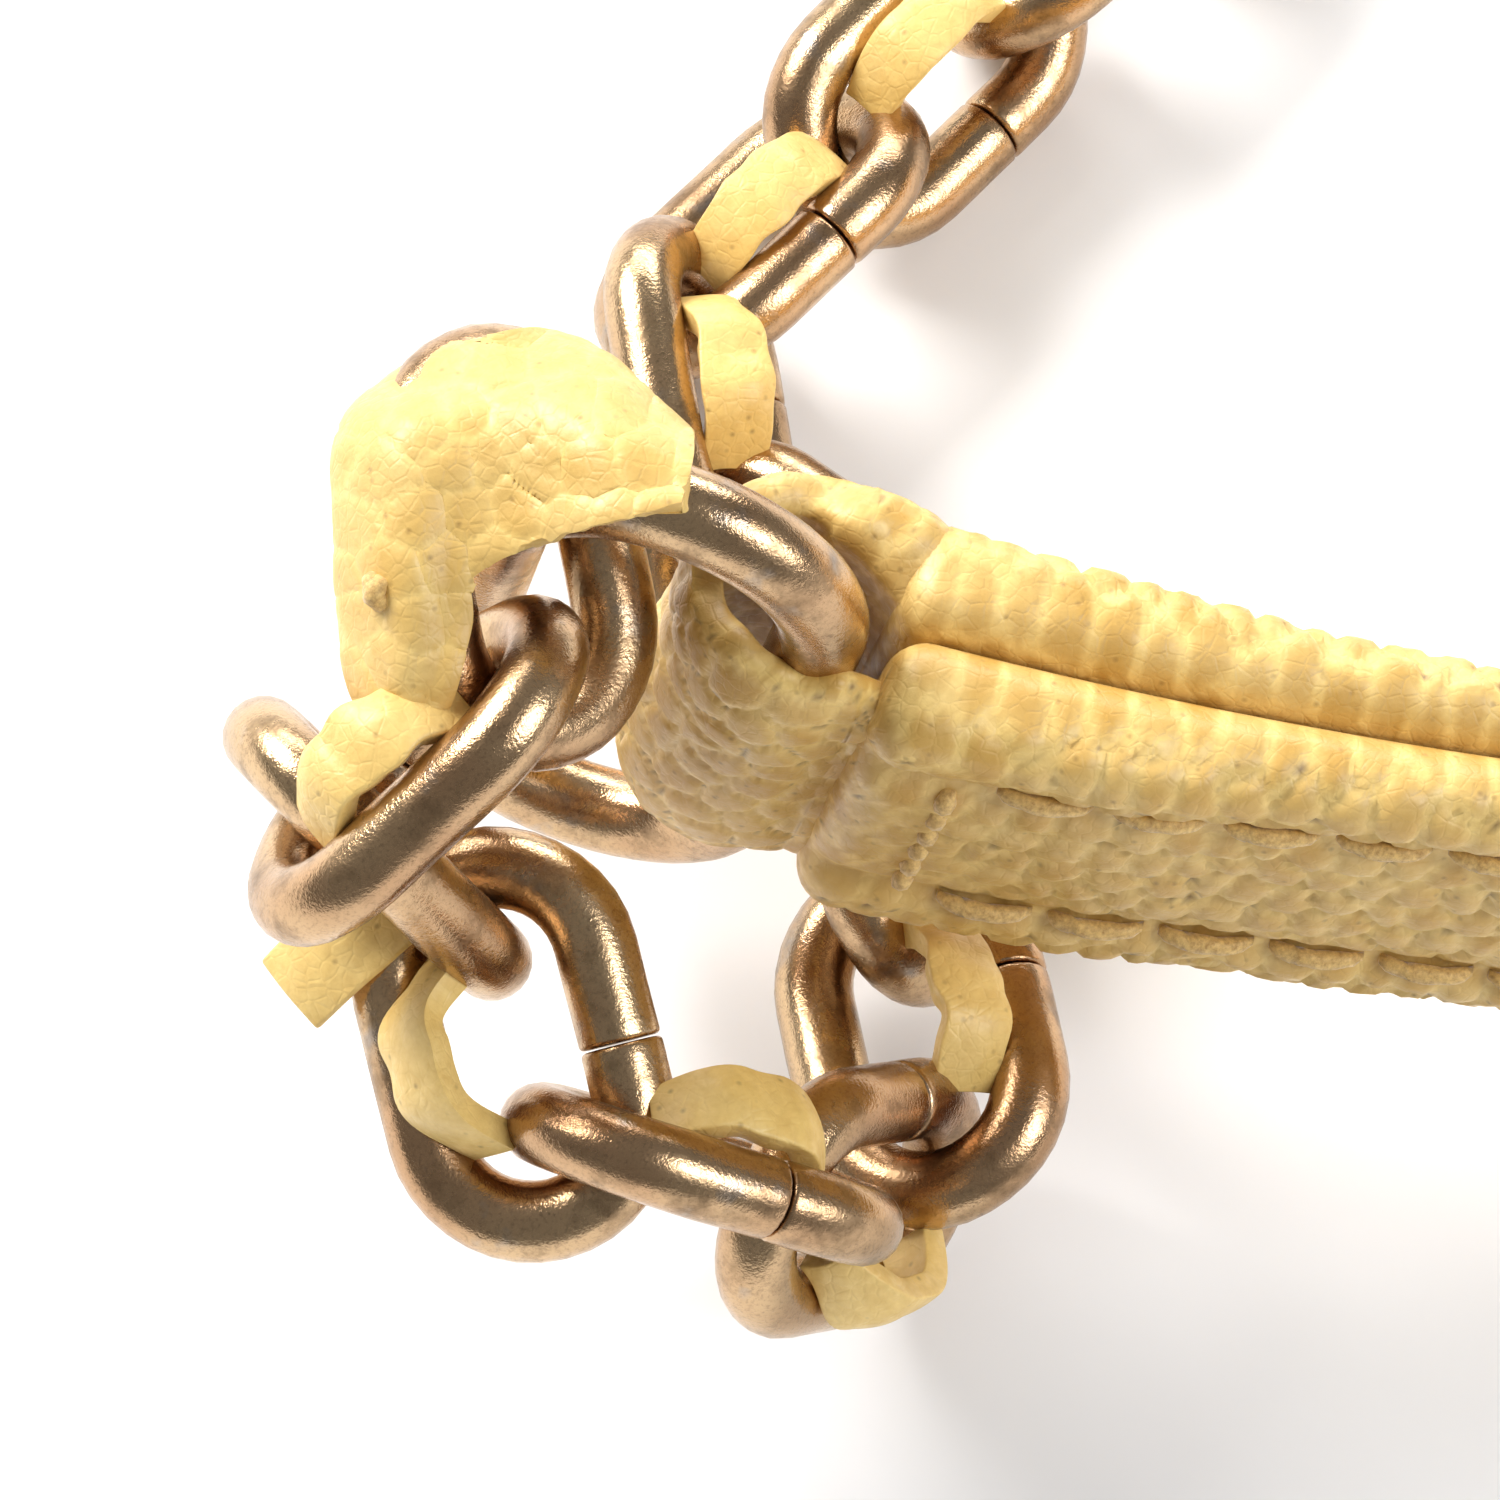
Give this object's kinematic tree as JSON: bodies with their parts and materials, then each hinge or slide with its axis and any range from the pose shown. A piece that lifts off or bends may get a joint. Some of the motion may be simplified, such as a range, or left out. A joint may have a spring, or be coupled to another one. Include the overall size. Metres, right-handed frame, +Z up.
{
  "type": "laced chain shoulder strap",
  "caption": "Curved padded leather shoulder pad with a rolled loop and oval ring at each end, each carrying a laced metal chain that trails on the table.",
  "frame": {"origin": "middle of the overall box, on the surface that the strap lies on", "axes": "+X along the strap from its left ring to its right ring, +Y towards the inside of the strap's curve, +Z up"},
  "size_m": [0.22, 0.067, 0.0288],
  "materials": {
    "leather": "semi-gloss pebbled",
    "foam": "matte",
    "thread": "waxed",
    "brass": "antiqued satin"
  },
  "bodies": {
    "root": {"front_cover": "leather", "back_cover": "leather", "front_filling": "foam", "back_filling": "foam", "long_stitching": "thread", "end_stitching": "thread"},
    "left_ring": {"left_ring": "brass"},
    "left_link_1": {"left_link_1": "brass", "left_lace": "leather", "left_hand_stitch": "thread"},
    "left_link_2": {"left_link_2": "brass"},
    "left_link_3": {"left_link_3": "brass"},
    "left_link_4": {"left_link_4": "brass"},
    "left_link_5": {"left_link_5": "brass"},
    "left_link_6": {"left_link_6": "brass"},
    "left_link_7": {"left_link_7": "brass"},
    "left_link_8": {"left_link_8": "brass"},
    "left_link_9": {"left_link_9": "brass"},
    "left_link_10": {"left_link_10": "brass"},
    "left_link_11": {"left_link_11": "brass"},
    "left_link_12": {"left_link_12": "brass"},
    "left_link_13": {"left_link_13": "brass"},
    "left_link_14": {"left_link_14": "brass"},
    "right_ring": {"right_ring": "brass"},
    "right_link_1": {"right_link_1": "brass", "right_lace": "leather", "right_hand_stitch": "thread"},
    "right_link_2": {"right_link_2": "brass"},
    "right_link_3": {"right_link_3": "brass"},
    "right_link_4": {"right_link_4": "brass"},
    "right_link_5": {"right_link_5": "brass"},
    "right_link_6": {"right_link_6": "brass"},
    "right_link_7": {"right_link_7": "brass"},
    "right_link_8": {"right_link_8": "brass"},
    "right_link_9": {"right_link_9": "brass"},
    "right_link_10": {"right_link_10": "brass"},
    "right_link_11": {"right_link_11": "brass"},
    "right_link_12": {"right_link_12": "brass"},
    "right_link_13": {"right_link_13": "brass"},
    "right_link_14": {"right_link_14": "brass"}
  },
  "joints": [
    {"name": "left_ring_swing", "type": "hinge", "parent": "root", "child": "left_ring", "pos_m": [-0.09439, 0.00166, 0.0163], "axis": [0.1436, -0.1122, 0.9833], "range_deg": [-8, 35]},
    {"name": "left_link_1_swivel", "type": "hinge", "parent": "left_ring", "child": "left_link_1", "pos_m": [-0.09971, 0.00698, 0.02403], "axis": [0.1497, -0.1182, 0.9816], "range_deg": [-40, 5]},
    {"name": "left_link_2_swivel", "type": "hinge", "parent": "left_link_1", "child": "left_link_2", "pos_m": [-0.10252, 0.00273, 0.02286], "axis": [0.4728, -0.5983, -0.6469], "range_deg": [-40, 11], "deforming": ["left_lace"]},
    {"name": "left_link_3_swivel", "type": "hinge", "parent": "left_link_2", "child": "left_link_3", "pos_m": [-0.1065, 0.00379, 0.01838], "axis": [0.8946, 0.4051, 0.1885], "range_deg": [-5, 40]},
    {"name": "left_link_4_swivel", "type": "hinge", "parent": "left_link_3", "child": "left_link_4", "pos_m": [-0.10398, -0.00043, 0.014], "axis": [-0.1598, -0.2989, 0.9408], "range_deg": [-40, 11]},
    {"name": "left_link_5_swivel", "type": "hinge", "parent": "left_link_4", "child": "left_link_5", "pos_m": [-0.10281, -0.00655, 0.01257], "axis": [-0.6729, -0.6293, -0.3889], "range_deg": [-14, 11]},
    {"name": "left_link_6_swivel", "type": "hinge", "parent": "left_link_5", "child": "left_link_6", "pos_m": [-0.09831, -0.00847, 0.00771], "axis": [-0.5718, 0.7527, -0.3264], "range_deg": [-8, 40]},
    {"name": "left_link_7_swivel", "type": "hinge", "parent": "left_link_6", "child": "left_link_7", "pos_m": [-0.09329, -0.00644, 0.00451], "axis": [-0.207, 0.1778, 0.9621], "range_deg": [-26, 20]},
    {"name": "left_link_8_swivel", "type": "hinge", "parent": "left_link_7", "child": "left_link_8", "pos_m": [-0.09113, 0.00038, 0.00376], "axis": [-0.876, 0.3121, -0.3677], "range_deg": [-29, 40]},
    {"name": "left_link_9_swivel", "type": "hinge", "parent": "left_link_8", "child": "left_link_9", "pos_m": [-0.08905, 0.00719, 0.00428], "axis": [-0.5381, -0.0674, 0.8402], "range_deg": [-40, 40]},
    {"name": "left_link_10_swivel", "type": "hinge", "parent": "left_link_9", "child": "left_link_10", "pos_m": [-0.09034, 0.01387, 0.00423], "axis": [-0.773, 0.2576, -0.5798], "range_deg": [-40, 40]},
    {"name": "left_link_11_swivel", "type": "hinge", "parent": "left_link_10", "child": "left_link_11", "pos_m": [-0.08762, 0.02014, 0.00314], "axis": [0.2517, -0.6154, -0.747], "range_deg": [-40, 40]},
    {"name": "left_link_12_swivel", "type": "hinge", "parent": "left_link_11", "child": "left_link_12", "pos_m": [-0.08088, 0.02267, 0.00332], "axis": [0.2743, -0.7148, 0.6432], "range_deg": [-40, 40]},
    {"name": "left_link_13_swivel", "type": "hinge", "parent": "left_link_12", "child": "left_link_13", "pos_m": [-0.07418, 0.02529, 0.00337], "axis": [0.2763, -0.6511, -0.7069], "range_deg": [-40, 40]},
    {"name": "left_link_14_swivel", "type": "hinge", "parent": "left_link_13", "child": "left_link_14", "pos_m": [-0.06756, 0.02813, 0.00335], "axis": [-0.2825, 0.6347, -0.7193], "range_deg": [-40, 40]},
    {"name": "right_ring_swing", "type": "hinge", "parent": "root", "child": "right_ring", "pos_m": [0.09439, 0.00166, 0.0163], "axis": [0.1436, 0.1122, -0.9833], "range_deg": [-8, 35]},
    {"name": "right_link_1_swivel", "type": "hinge", "parent": "right_ring", "child": "right_link_1", "pos_m": [0.09971, 0.00698, 0.02403], "axis": [0.1497, 0.1182, -0.9816], "range_deg": [-40, 5]},
    {"name": "right_link_2_swivel", "type": "hinge", "parent": "right_link_1", "child": "right_link_2", "pos_m": [0.10252, 0.00273, 0.02286], "axis": [0.4728, 0.5983, 0.6469], "range_deg": [-40, 11], "deforming": ["right_lace"]},
    {"name": "right_link_3_swivel", "type": "hinge", "parent": "right_link_2", "child": "right_link_3", "pos_m": [0.1065, 0.00379, 0.01838], "axis": [0.8946, -0.4051, -0.1885], "range_deg": [-5, 40]},
    {"name": "right_link_4_swivel", "type": "hinge", "parent": "right_link_3", "child": "right_link_4", "pos_m": [0.10398, -0.00043, 0.014], "axis": [-0.1598, 0.2989, -0.9408], "range_deg": [-40, 11]},
    {"name": "right_link_5_swivel", "type": "hinge", "parent": "right_link_4", "child": "right_link_5", "pos_m": [0.10281, -0.00655, 0.01257], "axis": [-0.6729, 0.6293, 0.3889], "range_deg": [-14, 11]},
    {"name": "right_link_6_swivel", "type": "hinge", "parent": "right_link_5", "child": "right_link_6", "pos_m": [0.09831, -0.00847, 0.00771], "axis": [-0.5718, -0.7527, 0.3264], "range_deg": [-8, 40]},
    {"name": "right_link_7_swivel", "type": "hinge", "parent": "right_link_6", "child": "right_link_7", "pos_m": [0.09329, -0.00644, 0.00451], "axis": [-0.207, -0.1778, -0.9621], "range_deg": [-26, 20]},
    {"name": "right_link_8_swivel", "type": "hinge", "parent": "right_link_7", "child": "right_link_8", "pos_m": [0.09113, 0.00038, 0.00376], "axis": [-0.876, -0.3121, 0.3677], "range_deg": [-29, 40]},
    {"name": "right_link_9_swivel", "type": "hinge", "parent": "right_link_8", "child": "right_link_9", "pos_m": [0.08905, 0.00719, 0.00428], "axis": [-0.5381, 0.0674, -0.8402], "range_deg": [-40, 40]},
    {"name": "right_link_10_swivel", "type": "hinge", "parent": "right_link_9", "child": "right_link_10", "pos_m": [0.09034, 0.01387, 0.00423], "axis": [-0.773, -0.2576, 0.5798], "range_deg": [-40, 40]},
    {"name": "right_link_11_swivel", "type": "hinge", "parent": "right_link_10", "child": "right_link_11", "pos_m": [0.08762, 0.02014, 0.00314], "axis": [0.2517, 0.6154, 0.747], "range_deg": [-40, 40]},
    {"name": "right_link_12_swivel", "type": "hinge", "parent": "right_link_11", "child": "right_link_12", "pos_m": [0.08088, 0.02267, 0.00332], "axis": [0.2743, 0.7148, -0.6432], "range_deg": [-40, 40]},
    {"name": "right_link_13_swivel", "type": "hinge", "parent": "right_link_12", "child": "right_link_13", "pos_m": [0.07418, 0.02529, 0.00337], "axis": [0.2763, 0.6511, 0.7069], "range_deg": [-40, 40]},
    {"name": "right_link_14_swivel", "type": "hinge", "parent": "right_link_13", "child": "right_link_14", "pos_m": [0.06756, 0.02813, 0.00335], "axis": [-0.2825, -0.6347, 0.7193], "range_deg": [-40, 40]}
  ]
}
